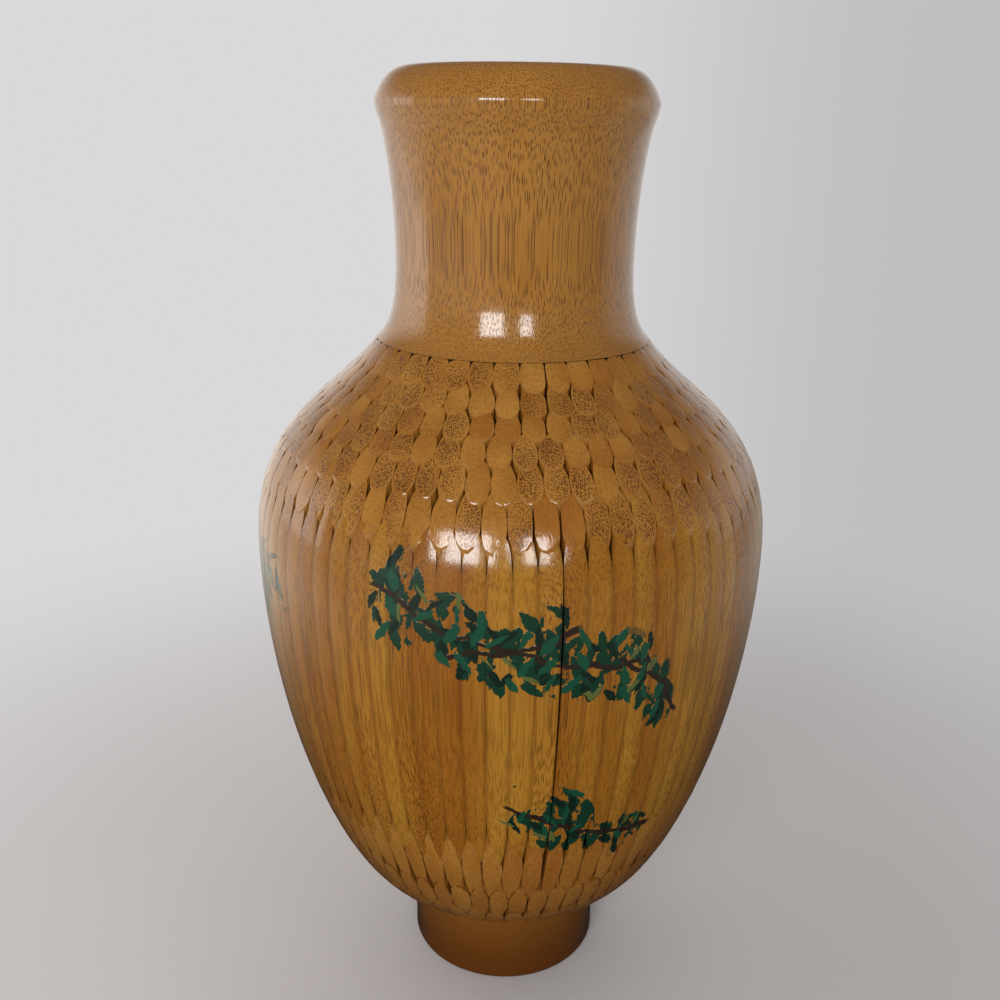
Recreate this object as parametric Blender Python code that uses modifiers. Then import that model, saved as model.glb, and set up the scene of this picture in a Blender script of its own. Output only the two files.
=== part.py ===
"""Lathe-turned bamboo vase: a bored culm with rings of bamboo rods glued round it.

The culm runs the full height. Its upper end is turned to the neck and lip, its lower end to
the foot. The rods stand in rings round its middle. The culm and the rods all taper a little
towards the foot, and the whole bundle is turned to one outline, so that every rod end follows
the shoulder or the lower body. Each ring is made of groups of neighbouring rods, and the rods
of a group are glued flat to flat.

Metres, +Z up. The origin is at the centre of the foot's underside. The front faces -Y.
"""

import math

import bmesh
import bpy
import numpy as np
from mathutils import Matrix, Vector
from mathutils.geometry import interpolate_bezier

# Culm: heights above the underside and radii from the axis
VASE_HEIGHT = 0.308
CREST_RADIUS = 0.033
LIP_RADIUS = 0.0431
LIP_HEIGHT = 0.298
LIP_ROOT_RADIUS = 0.041
LIP_ROOT_HEIGHT = 0.290
WAIST_RADIUS = 0.0375
WAIST_HEIGHT = 0.252
CULM_RADIUS = 0.0436
CULM_LOWER_RADIUS = 0.03556
NECK_BASE_HEIGHT = 0.2275
BODY_BASE_HEIGHT = 0.0345
FOOT_RADIUS = 0.0335
FOOT_HEIGHT = 0.027
FOOT_CHAMFER = 0.0012
BORE_RADIUS = 0.029
MOUTH_DEPTH = 0.005

# Turned body
BELLY_RADIUS = 0.0841
BELLY_HEIGHT = 0.162
BASE_RADIUS = 0.0436
CULM_BASE_POINTS = 4

# Rods, pressed a little flat between the rings, and the glue lines between them. The sizes are
# those at the height of the neck's base, where the taper starts. Each ring is deeper than the
# one inside it by RING_SPREAD, and TURNED_AWAY is the depth that the belly takes off the last.
RINGS = 7
ROD_WIDTH = 0.0073
RING_SPREAD = 0.00017
TURNED_AWAY = 0.0007
ROD_SIDES = 8
CULM_GLUE = 0.00035
RING_GLUE = 0.00025
GROUP_GLUE = 0.0003
LONGEST_FLAT = 0.0105
GROUPS = 6

# A rod's blank against its share of the ring and against the height of the body
BLANK_WIDTH_SHARE = 1.05
BLANK_LENGTH_SHARE = 1.2

# Where each ring's first group starts, counted in rods from the front towards +X
RING_STARTS = (3.2, -2.74, 4.28, -3.06, 4.14, 1.79, 2.0)

# Floor
FLOOR_THICKNESS = 0.008
FLOOR_RECESS = 0.004
FLOOR_CHAMFER = 0.0006
FLOOR_GLUE = 0.00025

CULM_STEPS = 40
OUTLINE_SAMPLES = 400
MERGE_DISTANCE = 0.000002
CUT_TOLERANCE = 0.0000001
CREASE_ANGLE = math.radians(40.0)
CHAMFER_ANGLE = math.radians(60.0)

# Colour, roughness and metallic value of each kind of piece
CULM_FINISH = ((0.46, 0.24, 0.075), 0.28, 0.0)
ROD_FINISH = ((0.50, 0.27, 0.085), 0.30, 0.0)
FLOOR_FINISH = ((0.34, 0.19, 0.08), 0.55, 0.0)


def clear_scene():
    """Remove every object and the collections left from before."""
    for item in list(bpy.data.objects):
        bpy.data.objects.remove(item, do_unlink=True)
    for group in list(bpy.data.collections):
        bpy.data.collections.remove(group)


def new_collection(name):
    """Return a new collection linked to the scene."""
    group = bpy.data.collections.new(name)
    bpy.context.scene.collection.children.link(group)
    return group


def make_material(name, finish):
    """Return a Principled material from a colour, a roughness and a metallic value."""
    colour, roughness, metallic = finish
    material = bpy.data.materials.new(name)
    material.use_nodes = True
    shader = material.node_tree.nodes["Principled BSDF"]
    shader.inputs["Base Color"].default_value = (*colour, 1.0)
    shader.inputs["Roughness"].default_value = roughness
    shader.inputs["Metallic"].default_value = metallic
    return material


def add_object(name, mesh, group, material):
    """Link a mesh as a named object with one material."""
    item = bpy.data.objects.new(name, mesh)
    mesh.materials.append(material)
    group.objects.link(item)
    return item


def curve(start, end, start_pull, end_pull, count):
    """Return points (radius, height) on a Bezier curve, with both ends.

    Each pull moves a handle from its own end towards the other end. It is a pair of shares,
    one of the step in radius and one of the step in height.
    """
    step = Vector(end) - Vector(start)
    first = Vector(start) + Vector((step.x * start_pull[0], step.y * start_pull[1]))
    last = Vector(end) - Vector((step.x * end_pull[0], step.y * end_pull[1]))
    return [tuple(p) for p in interpolate_bezier(start, first, last, end, count)]


def shoulder_curve(count):
    """Return the turned outline from the belly up to the base of the neck."""
    belly = (BELLY_RADIUS, BELLY_HEIGHT)
    neck = (CULM_RADIUS, NECK_BASE_HEIGHT)
    return curve(belly, neck, (0.0, 0.618), (0.369, 0.302), count)


def lower_curve(count):
    """Return the turned outline from the belly down to the base of the body."""
    belly = (BELLY_RADIUS, BELLY_HEIGHT)
    base = (BASE_RADIUS, BODY_BASE_HEIGHT)
    return curve(belly, base, (0.0, 0.462), (0.448, 0.034), count)


def base_curve(count):
    """Return the turned outline from the base of the body in to the foot."""
    base = (BASE_RADIUS, BODY_BASE_HEIGHT)
    foot = (FOOT_RADIUS, FOOT_HEIGHT)
    return curve(base, foot, (0.6, 0.1), (0.0, 0.5), count)


def taper(height):
    """Return the width of the bundle at a height as a share of that at the neck's base."""
    way_down = (NECK_BASE_HEIGHT - height) / (NECK_BASE_HEIGHT - BODY_BASE_HEIGHT)
    return 1.0 - (1.0 - CULM_LOWER_RADIUS / CULM_RADIUS) * way_down


def rod_branches():
    """Return the outline of the rods above and below its widest point.

    The radii are those that each point has once the taper is taken away. Both branches start
    at the widest point.
    """
    under_base = [p for p in base_curve(OUTLINE_SAMPLES) if p[0] > CULM_RADIUS * taper(p[1])]
    points = shoulder_curve(OUTLINE_SAMPLES)[::-1] + lower_curve(OUTLINE_SAMPLES)[1:]
    points += under_base[1:]
    straight = [(radius / taper(height), height) for radius, height in points]
    widest = max(range(len(straight)), key=lambda place: straight[place][0])
    return straight[widest::-1], straight[widest:]


def culm_base():
    """Return the culm's own part of the outline, from the end of the rods in to the foot."""
    points = [p for p in base_curve(OUTLINE_SAMPLES) if p[0] <= CULM_RADIUS * taper(p[1])]
    last = len(points) - 1
    return [points[round(i * last / (CULM_BASE_POINTS - 1))] for i in range(CULM_BASE_POINTS)]


def culm_section():
    """Return the closed section of the culm's wall, from the crest down its outer side."""
    mouth = (BORE_RADIUS, VASE_HEIGHT - MOUTH_DEPTH)
    crest = (CREST_RADIUS, VASE_HEIGHT)
    lip = (LIP_RADIUS, LIP_HEIGHT)
    root = (LIP_ROOT_RADIUS, LIP_ROOT_HEIGHT)
    waist = (WAIST_RADIUS, WAIST_HEIGHT)
    neck = (CULM_RADIUS, NECK_BASE_HEIGHT)
    points = curve(crest, lip, (0.729, 0.0), (0.0, 0.083), 6)
    points += curve(lip, root, (0.0, 0.3), (0.29, 0.325), 4)[1:]
    points += curve(root, waist, (0.293, 0.123), (0.0, 0.484), 5)[1:]
    points += curve(waist, neck, (0.0, 0.223), (1.0, 0.206), 6)[1:]
    points += culm_base()
    points.append((FOOT_RADIUS, FOOT_CHAMFER))
    points.append((FOOT_RADIUS - FOOT_CHAMFER, 0.0))
    points.append((BORE_RADIUS + FOOT_CHAMFER / 2.0, 0.0))
    points.append((BORE_RADIUS, FOOT_CHAMFER / 2.0))
    points += curve(mouth, crest, (0.0, 0.55), (0.55, 0.0), 4)[:-1]
    return points


def add_turned(name, section, steps, group, material):
    """Turn a closed section round the Z axis with a Screw modifier."""
    mesh = bpy.data.meshes.new(name)
    work = bmesh.new()
    corners = [work.verts.new((radius, 0.0, height)) for radius, height in section]
    for here, there in zip(corners, corners[1:] + corners[:1]):
        work.edges.new((here, there))
    work.to_mesh(mesh)
    work.free()
    item = add_object(name, mesh, group, material)
    screw = item.modifiers.new("Turn", "SCREW")
    screw.axis = "Z"
    screw.steps = steps
    screw.render_steps = steps
    screw.use_merge_vertices = True
    screw.merge_threshold = MERGE_DISTANCE
    screw.use_smooth_shade = True
    return item


def branch_points(branch, inner, outer):
    """Return points (radius, height) of one outline branch between two radii.

    The branch comes as points that start at its widest. The result starts at the outer radius,
    and no flat between two of its points is longer than LONGEST_FLAT.
    """
    radii = np.array([point[0] for point in branch])[::-1]
    heights = np.array([point[1] for point in branch])[::-1]
    ends = np.interp([outer, inner], radii, heights)
    count = max(1, math.ceil(math.hypot(outer - inner, ends[1] - ends[0]) / LONGEST_FLAT))
    steps = np.linspace(ends[0], ends[1], count + 1)
    order = np.argsort(heights)
    return [(float(np.interp(z, heights[order], radii[order])), float(z)) for z in steps]


def cut_along(work, chain):
    """Cut a rod that stands on +X along a chain of outline points, and close each cut."""
    centre = Vector((0.0, 0.0, BELLY_HEIGHT))
    for (radius, height), (next_radius, next_height) in zip(chain, chain[1:]):
        place = Vector((radius, 0.0, height))
        along = Vector((next_radius - radius, 0.0, next_height - height)).normalized()
        normal = Vector((along.z, 0.0, -along.x))
        if normal.dot(place - centre) < 0.0:
            normal.negate()
        geometry = work.verts[:] + work.edges[:] + work.faces[:]
        result = bmesh.ops.bisect_plane(
            work, geom=geometry, dist=CUT_TOLERANCE, plane_co=place, plane_no=normal, clear_outer=True
        )
        rim = [e for e in result["geom_cut"] if isinstance(e, bmesh.types.BMEdge)]
        bmesh.ops.edgeloop_fill(work, edges=rim)


def cut_radially(work, azimuth, inset, close):
    """Cut away what lies past the upright plane through the axis at an azimuth.

    The plane is moved towards the azimuth zero by the inset. With close, the cut is filled.
    """
    side = math.copysign(1.0, azimuth)
    normal = Vector((-math.sin(azimuth), math.cos(azimuth), 0.0)) * side
    geometry = work.verts[:] + work.edges[:] + work.faces[:]
    result = bmesh.ops.bisect_plane(
        work, geom=geometry, dist=CUT_TOLERANCE, plane_co=-normal * inset, plane_no=normal, clear_outer=True
    )
    if close:
        rim = [e for e in result["geom_cut"] if isinstance(e, bmesh.types.BMEdge)]
        bmesh.ops.edgeloop_fill(work, edges=rim)


def rod_mesh(inner, outer, count, upper, lower):
    """Return one rod on +X, cut to the outline, open where its two neighbours meet it.

    The taper isn't in it yet, so the rod is upright and as wide at the foot as at the neck.
    """
    ring_radius = (inner + outer) / 2.0
    depth = outer - inner
    length = NECK_BASE_HEIGHT - BODY_BASE_HEIGHT
    half_step = math.pi / count
    share = 2.0 * outer * math.tan(half_step)
    widening = BLANK_WIDTH_SHARE * share / depth
    work = bmesh.new()
    bmesh.ops.create_cone(
        work,
        cap_ends=True,
        segments=ROD_SIDES,
        radius1=depth / 2.0 / math.cos(math.pi / ROD_SIDES),
        radius2=depth / 2.0 / math.cos(math.pi / ROD_SIDES),
        depth=length * BLANK_LENGTH_SHARE,
        matrix=Matrix.Rotation(math.pi / ROD_SIDES, 4, "Z"),
    )
    bmesh.ops.scale(work, vec=(1.0, widening, 1.0), verts=work.verts[:])
    middle = (ring_radius, 0.0, BODY_BASE_HEIGHT + length / 2.0)
    bmesh.ops.translate(work, vec=middle, verts=work.verts[:])
    reach = min(outer, upper[0][0])
    cut_along(work, branch_points(upper, inner, reach))
    cut_along(work, branch_points(lower, inner, reach))
    cut_radially(work, half_step, 0.0, close=False)
    cut_radially(work, -half_step, 0.0, close=False)
    mesh = bpy.data.meshes.new("rod")
    work.to_mesh(mesh)
    work.free()
    return mesh


def group_mesh(name, rod, size, half_step):
    """Return neighbouring rods joined at their flats, centred on +X, closed and tapered."""
    work = bmesh.new()
    for place in range(size):
        known = len(work.verts)
        work.from_mesh(rod)
        work.verts.ensure_lookup_table()
        azimuth = (2 * place + 1 - size) * half_step
        turned = Matrix.Rotation(azimuth, 3, "Z")
        bmesh.ops.rotate(work, cent=(0.0, 0.0, 0.0), matrix=turned, verts=work.verts[known:])
    bmesh.ops.remove_doubles(work, verts=work.verts[:], dist=MERGE_DISTANCE)
    cut_radially(work, size * half_step, GROUP_GLUE / 2.0, close=True)
    cut_radially(work, -size * half_step, GROUP_GLUE / 2.0, close=True)
    for corner in work.verts:
        share = taper(corner.co.z)
        corner.co.x *= share
        corner.co.y *= share
    bmesh.ops.triangulate(work, faces=work.faces[:])
    bmesh.ops.recalc_face_normals(work, faces=work.faces[:])
    mesh = bpy.data.meshes.new(name)
    work.to_mesh(mesh)
    work.free()
    mesh.shade_smooth()
    mesh.set_sharp_from_angle(angle=CREASE_ANGLE)
    return mesh


def ring_edges(widest):
    """Return the radii of the glue lines inside and outside each ring, for a widest outline."""
    first = CULM_RADIUS + CULM_GLUE - RING_GLUE / 2.0
    step = (widest + TURNED_AWAY - first) / RINGS - RING_SPREAD * (RINGS - 1) / 2.0
    return [first + i * step + RING_SPREAD * i * (i - 1) / 2.0 for i in range(RINGS + 1)]


def add_rod_ring(index, edges, group, upper, lower):
    """Add one ring of rods as groups of neighbours, each group its own object."""
    inner = edges[index] + RING_GLUE / 2.0
    outer = edges[index + 1] - RING_GLUE / 2.0
    count = int(math.tau * (inner + outer) / 2.0 / ROD_WIDTH)
    half_step = math.pi / count
    rod = rod_mesh(inner, outer, count, upper, lower)
    start = -math.pi / 2.0 + RING_STARTS[index % len(RING_STARTS)] * 2.0 * half_step
    for number in range(GROUPS):
        first = number * count // GROUPS
        size = (number + 1) * count // GROUPS - first
        name = f"ring_{index + 1}_rods_{number + 1}"
        mesh = group_mesh(name, rod, size, half_step)
        rods = add_object(name, mesh, group, make_material(name, ROD_FINISH))
        rods.rotation_euler.z = start + (2 * first + size) * half_step
    bpy.data.meshes.remove(rod)


def add_floor(group):
    """Add the round floor that is glued into the bore just above the foot's rim."""
    radius = BORE_RADIUS * math.cos(math.pi / CULM_STEPS) - FLOOR_GLUE
    mesh = bpy.data.meshes.new("floor_disc")
    work = bmesh.new()
    bmesh.ops.create_cone(
        work,
        cap_ends=True,
        segments=CULM_STEPS,
        radius1=radius,
        radius2=radius,
        depth=FLOOR_THICKNESS,
        matrix=Matrix.Translation((0.0, 0.0, FLOOR_RECESS + FLOOR_THICKNESS / 2.0)),
    )
    work.to_mesh(mesh)
    work.free()
    floor = add_object("floor_disc", mesh, group, make_material("floor_disc", FLOOR_FINISH))
    bevel = floor.modifiers.new("Chamfer", "BEVEL")
    bevel.width = FLOOR_CHAMFER
    bevel.segments = 1
    bevel.limit_method = "ANGLE"
    bevel.angle_limit = CHAMFER_ANGLE
    return floor


def main():
    """Build the vase."""
    clear_scene()
    group = new_collection("turned_bamboo_vase")
    upper, lower = rod_branches()
    culm = make_material("culm_core", CULM_FINISH)
    add_turned("culm_core", culm_section(), CULM_STEPS, group, culm)
    edges = ring_edges(upper[0][0])
    for index in range(RINGS):
        add_rod_ring(index, edges, group, upper, lower)
    add_floor(group)


if __name__ == "__main__":
    main()
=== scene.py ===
"""Turned bamboo rod vase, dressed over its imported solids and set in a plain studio.

Seven rings of upright bamboo rods stand round one thick bored culm. The bundle is turned to one
outline, so each rod shows a round end on the shoulder and an oval one below, and the outermost
rods show as long strips round the belly. Amber lacquer covers everything, and sprays of leaves
are painted on it.

Metres, +Z up. The origin is at the centre of the foot's underside. The front faces -Y.
"""

import logging
import math
from dataclasses import dataclass, field
from enum import Enum
from typing import Callable, Union

import bpy
import numpy as np
from mathutils import Matrix, Vector


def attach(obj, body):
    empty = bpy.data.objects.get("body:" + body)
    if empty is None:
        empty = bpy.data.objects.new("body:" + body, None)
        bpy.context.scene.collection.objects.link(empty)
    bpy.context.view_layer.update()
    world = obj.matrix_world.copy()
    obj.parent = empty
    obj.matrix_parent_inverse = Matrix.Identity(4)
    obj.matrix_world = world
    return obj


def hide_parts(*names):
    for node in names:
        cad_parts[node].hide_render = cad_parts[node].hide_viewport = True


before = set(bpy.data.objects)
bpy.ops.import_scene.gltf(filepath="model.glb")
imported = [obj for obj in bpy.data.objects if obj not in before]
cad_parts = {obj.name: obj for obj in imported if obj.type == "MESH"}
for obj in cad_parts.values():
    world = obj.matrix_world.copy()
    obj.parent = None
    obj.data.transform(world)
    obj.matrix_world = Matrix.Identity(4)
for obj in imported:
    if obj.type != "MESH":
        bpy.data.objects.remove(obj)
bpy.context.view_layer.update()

Colour = tuple[float, float, float]
Pair = tuple[float, float]
Rows = np.ndarray
Item = bpy.types.Object
Material = bpy.types.Material
Number = Union["Value", float]
Operand = Union["Value", float, tuple]
Tint = Union["Value", tuple]

LOG = logging.getLogger("vase")
BODY = "root"
MM = 0.001
BLANK_PITCH = 4.0
LEAST_DROP = 0.00001
WOOD_SLOT, GLUE_SLOT = 0, 1


# Shader maths


def operator(operation: str, swap: bool = False) -> "Callable[[Value, Operand], Value]":
    """Make the method of Value for one arithmetic sign.

    Args:
        operation: The Math operation of the sign.
        swap: Whether the value stands behind the sign.

    Returns:
        The method.
    """

    def method(self: "Value", other: Operand) -> "Value":
        """Return the result."""
        return self.combine(operation, other, swap)

    return method


class Value:
    """A number or vector socket that takes part in shader expressions."""

    __add__ = operator("ADD")
    __radd__ = operator("ADD", swap=True)
    __sub__ = operator("SUBTRACT")
    __rsub__ = operator("SUBTRACT", swap=True)
    __mul__ = operator("MULTIPLY")
    __rmul__ = operator("MULTIPLY", swap=True)
    __truediv__ = operator("DIVIDE")
    __rtruediv__ = operator("DIVIDE", swap=True)
    __pow__ = operator("POWER")
    __rpow__ = operator("POWER", swap=True)

    def __init__(self, sheet: "Sheet", socket: bpy.types.NodeSocket) -> None:
        """Keep the socket and the sheet that its nodes go on."""
        self.sheet = sheet
        self.socket = socket

    @property
    def is_vector(self) -> bool:
        """Tell whether the socket carries a vector."""
        return self.socket.type == "VECTOR"

    def combine(self, operation: str, other: Operand, swap: bool = False) -> "Value":
        """Add one Math or Vector Math node.

        Args:
            operation: The node's operation.
            other: The other operand.
            swap: Whether the other operand comes first.

        Returns:
            The result.
        """
        vector = self.is_vector or isinstance(other, tuple)
        vector = vector or (isinstance(other, Value) and other.is_vector)
        if vector and isinstance(other, (int, float)):
            other = (other, other, other)
        kind = "ShaderNodeVectorMath" if vector else "ShaderNodeMath"
        pair = (other, self) if swap else (self, other)
        return self.sheet.value(kind, 0, {"operation": operation}, {0: pair[0], 1: pair[1]})

    def most(self, other: Number) -> "Value":
        """Return the larger of two values."""
        return self.combine("MAXIMUM", other)

    def apply(self, operation: str) -> "Value":
        """Return the result of a Math operation on this value alone."""
        return self.sheet.value("ShaderNodeMath", 0, {"operation": operation}, {0: self})

    def step(self, low: Number, high: Number) -> "Value":
        """Return a smooth step, either way round.

        Args:
            low: Where the step is 0.
            high: Where it is 1.

        Returns:
            The step.
        """
        settings = {"interpolation_type": "SMOOTHSTEP", "clamp": True}
        ranges = {0: self, 1: low, 2: high, 3: 0.0, 4: 1.0}
        return self.sheet.value("ShaderNodeMapRange", 0, settings, ranges)

    def parts(self) -> "tuple[Value, Value, Value]":
        """Return the three components of a vector or colour."""
        node = self.sheet.add("ShaderNodeSeparateXYZ", {}, {0: self})
        return tuple(Value(self.sheet, node.outputs[i]) for i in range(3))


class Sheet:
    """The node tree of a material or of the world."""

    def __init__(self, tree: bpy.types.NodeTree) -> None:
        """Take an empty tree."""
        self.tree = tree
        self.tree.nodes.clear()

    def add(
        self, kind: str, settings: dict | None = None, inputs: dict | None = None
    ) -> bpy.types.Node:
        """Add a node.

        Args:
            kind: The node's type name.
            settings: Its properties, which are set first.
            inputs: Constants or links for its sockets, by index or name.

        Returns:
            The node.
        """
        node = self.tree.nodes.new(kind)
        for name, setting in (settings or {}).items():
            setattr(node, name, setting)
        for key, given in (inputs or {}).items():
            socket = node.inputs[key]
            if isinstance(given, Value):
                self.tree.links.new(given.socket, socket)
            elif isinstance(given, bpy.types.NodeSocket):
                self.tree.links.new(given, socket)
            elif socket.type == "RGBA" and len(given) == 3:
                socket.default_value = (*given, 1.0)
            else:
                socket.default_value = given
        return node

    def value(
        self, kind: str, output: int | str, settings: dict | None = None, inputs: dict | None = None
    ) -> Value:
        """Add a node and return one of its outputs."""
        return Value(self, self.add(kind, settings, inputs).outputs[output])

    def place(self) -> Value:
        """Return the Object coordinates."""
        return self.value("ShaderNodeTexCoord", "Object")

    def attribute(self, name: str, output: str = "Vector") -> Value:
        """Return an attribute of the mesh."""
        return self.value("ShaderNodeAttribute", output, {"attribute_name": name})

    def vector(self, x: Number, y: Number, z: Number) -> Value:
        """Return a vector made of three numbers."""
        return self.value("ShaderNodeCombineXYZ", 0, {}, {0: x, 1: y, 2: z})

    def mix(self, factor: Number, first: Tint, second: Tint) -> Value:
        """Return one colour laid over another by a factor."""
        settings = {"data_type": "RGBA", "clamp_factor": True}
        return self.value("ShaderNodeMix", 2, settings, {0: factor, 6: first, 7: second})

    def noise(
        self, vector: Value, scale: float = 1.0, detail: float = 2.0, output: int = 0
    ) -> Value:
        """Return a noise pattern, its number by default and its colour as output 1."""
        inputs = {"Vector": vector, "Scale": scale, "Detail": detail}
        return self.value("ShaderNodeTexNoise", output, {"noise_dimensions": "3D"}, inputs)

    def cells(self, vector: Value, jumble: float = 0.85) -> tuple[Value, Value, Value]:
        """Return a flat cell pattern.

        Args:
            vector: The coordinates, one cell to a unit, of which the third is left out.
            jumble: How far the cells leave their even rows, from 0 to 1.

        Returns:
            The distance to the cell's centre, the cell's random colour and its centre.
        """
        settings = {"voronoi_dimensions": "2D", "feature": "F1"}
        inputs = {"Vector": vector, "Scale": 1.0, "Randomness": jumble}
        node = self.add("ShaderNodeTexVoronoi", settings, inputs)
        return tuple(Value(self, node.outputs[name]) for name in ("Distance", "Color", "Position"))

    def bump(self, height: Value, strength: float, distance: float) -> Value:
        """Return a normal that shows a height pattern."""
        inputs = {"Strength": strength, "Distance": distance, "Height": height}
        return self.value("ShaderNodeBump", 0, {}, inputs)

    def surface(self, **inputs: object) -> None:
        """End the tree with a Principled shader.

        Args:
            inputs: Its sockets' values or links, by names with underscores for spaces.
        """
        named = {name.replace("_", " "): given for name, given in inputs.items()}
        shader = self.add("ShaderNodeBsdfPrincipled", {}, named)
        self.add("ShaderNodeOutputMaterial", {}, {"Surface": shader.outputs[0]})


def new_material(name: str) -> "tuple[Material, Sheet]":
    """Start a node material.

    Args:
        name: The material's name.

    Returns:
        The material and its empty sheet.
    """
    material = bpy.data.materials.new(name)
    material.use_nodes = True
    return material, Sheet(material.node_tree)


# Painted sprays


@dataclass(frozen=True)
class Spray:
    """A painted twig with foliage round it, in millimetres round the belly and up the body."""

    start: Pair
    end: Pair
    sway: float
    spread: float


@dataclass(frozen=True)
class LeafLayer:
    """One layer of brushed leaves."""

    tint: Colour
    size: float
    left_out: float
    width: float


@dataclass(frozen=True)
class LeafPaint:
    """The paints and the layout of the foliage, with its lengths in millimetres."""

    twig: Colour = (0.020, 0.012, 0.008)
    wash: Colour = (0.004, 0.034, 0.018)
    belly: float = 84.0
    ragged: float = 2.2
    end_fade: float = 9.0
    end_wander: float = 30.0
    side_wander: float = 34.0
    path_wander: float = 9.0
    twig_taper: float = 2.0
    twig_half: Pair = (0.95, 0.6)
    leaf_half: float = 0.64
    under_twig: int = 2
    layers: tuple[LeafLayer, ...] = (
        LeafLayer((0.004, 0.034, 0.017), 7.4, 0.16, 0.17),
        LeafLayer((0.003, 0.016, 0.009), 6.6, 0.30, 0.13),
        LeafLayer((0.006, 0.062, 0.032), 6.8, 0.42, 0.12),
        LeafLayer((0.090, 0.110, 0.030), 5.8, 0.82, 0.08),
    )
    sprays: tuple[Spray, ...] = (
        Spray((44.0, 149.0), (-42.0, 172.0), 5.0, 13.0),
        Spray((20.0, 163.0), (-20.0, 154.0), 3.0, 12.0),
        Spray((30.0, 152.0), (54.0, 128.0), 3.0, 9.0),
        Spray((56.0, 84.0), (-2.0, 104.0), 4.0, 9.0),
        Spray((-124.0, 126.0), (-84.0, 168.0), 4.0, 13.0),
        Spray((156.0, 118.0), (112.0, 170.0), 4.0, 13.0),
    )

    def group(self) -> bpy.types.NodeTree:
        """Make the node group that tells how a spot lies to the sprays, or find it.

        Returns:
            The group, with one input, Spot, and the outputs Room and Twig.
        """
        tree = bpy.data.node_groups.get("leaf_sprays")
        if tree is None:
            tree = bpy.data.node_groups.new("leaf_sprays", "ShaderNodeTree")
            tree.interface.new_socket("Spot", in_out="INPUT", socket_type="NodeSocketVector")
            tree.interface.new_socket("Room", in_out="OUTPUT", socket_type="NodeSocketFloat")
            tree.interface.new_socket("Twig", in_out="OUTPUT", socket_type="NodeSocketFloat")
            sheet = Sheet(tree)
            room, twig = self.room(sheet, sheet.value("NodeGroupInput", "Spot"))
            sheet.add("NodeGroupOutput", {}, {"Room": room, "Twig": twig})
        return tree

    def ask(self, sheet: Sheet, spot: Value) -> tuple[Value, Value]:
        """Return how far inside a spray a spot lies and where the twigs run, from the group."""
        node = sheet.add("ShaderNodeGroup", {"node_tree": self.group()}, {"Spot": spot})
        return Value(sheet, node.outputs["Room"]), Value(sheet, node.outputs["Twig"])

    def lay(self, sheet: Sheet, place: Value, ground: Value) -> tuple[Value, Value]:
        """Paint the foliage over a ground colour.

        Args:
            sheet: The sheet of the material.
            place: The Object coordinates.
            ground: The colour under the paint.

        Returns:
            The painted colour and where the paint lies, from 0 to 1.
        """
        x, y, z = place.parts()
        spot = sheet.vector(x.combine("ARCTAN2", 0.0 - y) * self.belly, z / MM, 0.0)
        edge = sheet.noise(spot, 0.4, 2.0, 1) - (0.5, 0.5, 0.5)
        room, twig = self.ask(sheet, spot)
        blot = sheet.noise(spot * (0.26, 0.13, 0.0) + edge * (0.5, 1.6, 0.0), 1.0, 2.0)
        wash = (blot + room * 0.2).step(0.69, 0.71) * room.step(0.35, 0.45)
        colour, cover = sheet.mix(wash, ground, self.wash), wash
        for number, layer in enumerate(self.layers):
            if number == self.under_twig:
                colour, cover = sheet.mix(twig, colour, self.twig), cover.most(twig)
            shift = (11.3 * number, 4.1 * number, 0.0)
            own = (spot + edge * self.ragged) * (1.0 / layer.size) + shift
            leaf, centre = self.leaves(sheet, own, layer)
            inside = self.ask(sheet, (centre - shift) * layer.size)[0]
            leaf = leaf * inside.step(0.30, 0.32)
            colour = sheet.mix(leaf, colour, layer.tint)
            cover = cover.most(leaf)
        return colour, cover

    def room(self, sheet: Sheet, spot: Value) -> tuple[Value, Value]:
        """Work out how a spot lies to the sprays.

        Args:
            sheet: The sheet of the node group.
            spot: The place round the belly and up the body, in millimetres.

        Returns:
            How far inside a spray the spot lies, and where the twigs run, both from 0 to 1.
        """
        across, up, _ = spot.parts()
        wave = sheet.noise(spot, 0.075, 3.0) - 0.5
        room, twig = None, None
        for spray in self.sprays:
            along, off, length = self.track(across, up, spray, wave)
            beside = off.apply("ABSOLUTE")
            rough = along + wave * self.end_wander
            ends = rough.step(-1.0, self.end_fade)
            ends = ends * rough.step(length + 1.0, length - self.end_fade)
            line = along.step(0.0, self.twig_taper) * along.step(length, length - self.twig_taper)
            line = line * beside.step(*self.twig_half)
            sides = (beside + wave * self.side_wander).step(spray.spread * 1.1, spray.spread * 0.3)
            here = ends * sides
            twig = line if twig is None else twig.most(line)
            room = here if room is None else room.most(here)
        return room, twig

    def track(
        self, across: Value, up: Value, spray: Spray, wave: Value
    ) -> tuple[Value, Value, float]:
        """Place a spot by a spray's bowed line.

        Args:
            across: The spot's place round the belly.
            up: Its height.
            spray: The spray.
            wave: A soft noise that bends the line.

        Returns:
            The places along the line and off it, and the line's length.
        """
        run = (spray.end[0] - spray.start[0], spray.end[1] - spray.start[1])
        length = math.hypot(*run)
        way = (run[0] / length, run[1] / length)
        right = across - spray.start[0]
        rise = up - spray.start[1]
        along = right * way[0] + rise * way[1]
        off = rise * way[0] - right * way[1]
        bow = (along * (math.pi / length)).apply("SINE") * spray.sway
        return along, off - bow - wave * self.path_wander, length

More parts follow.
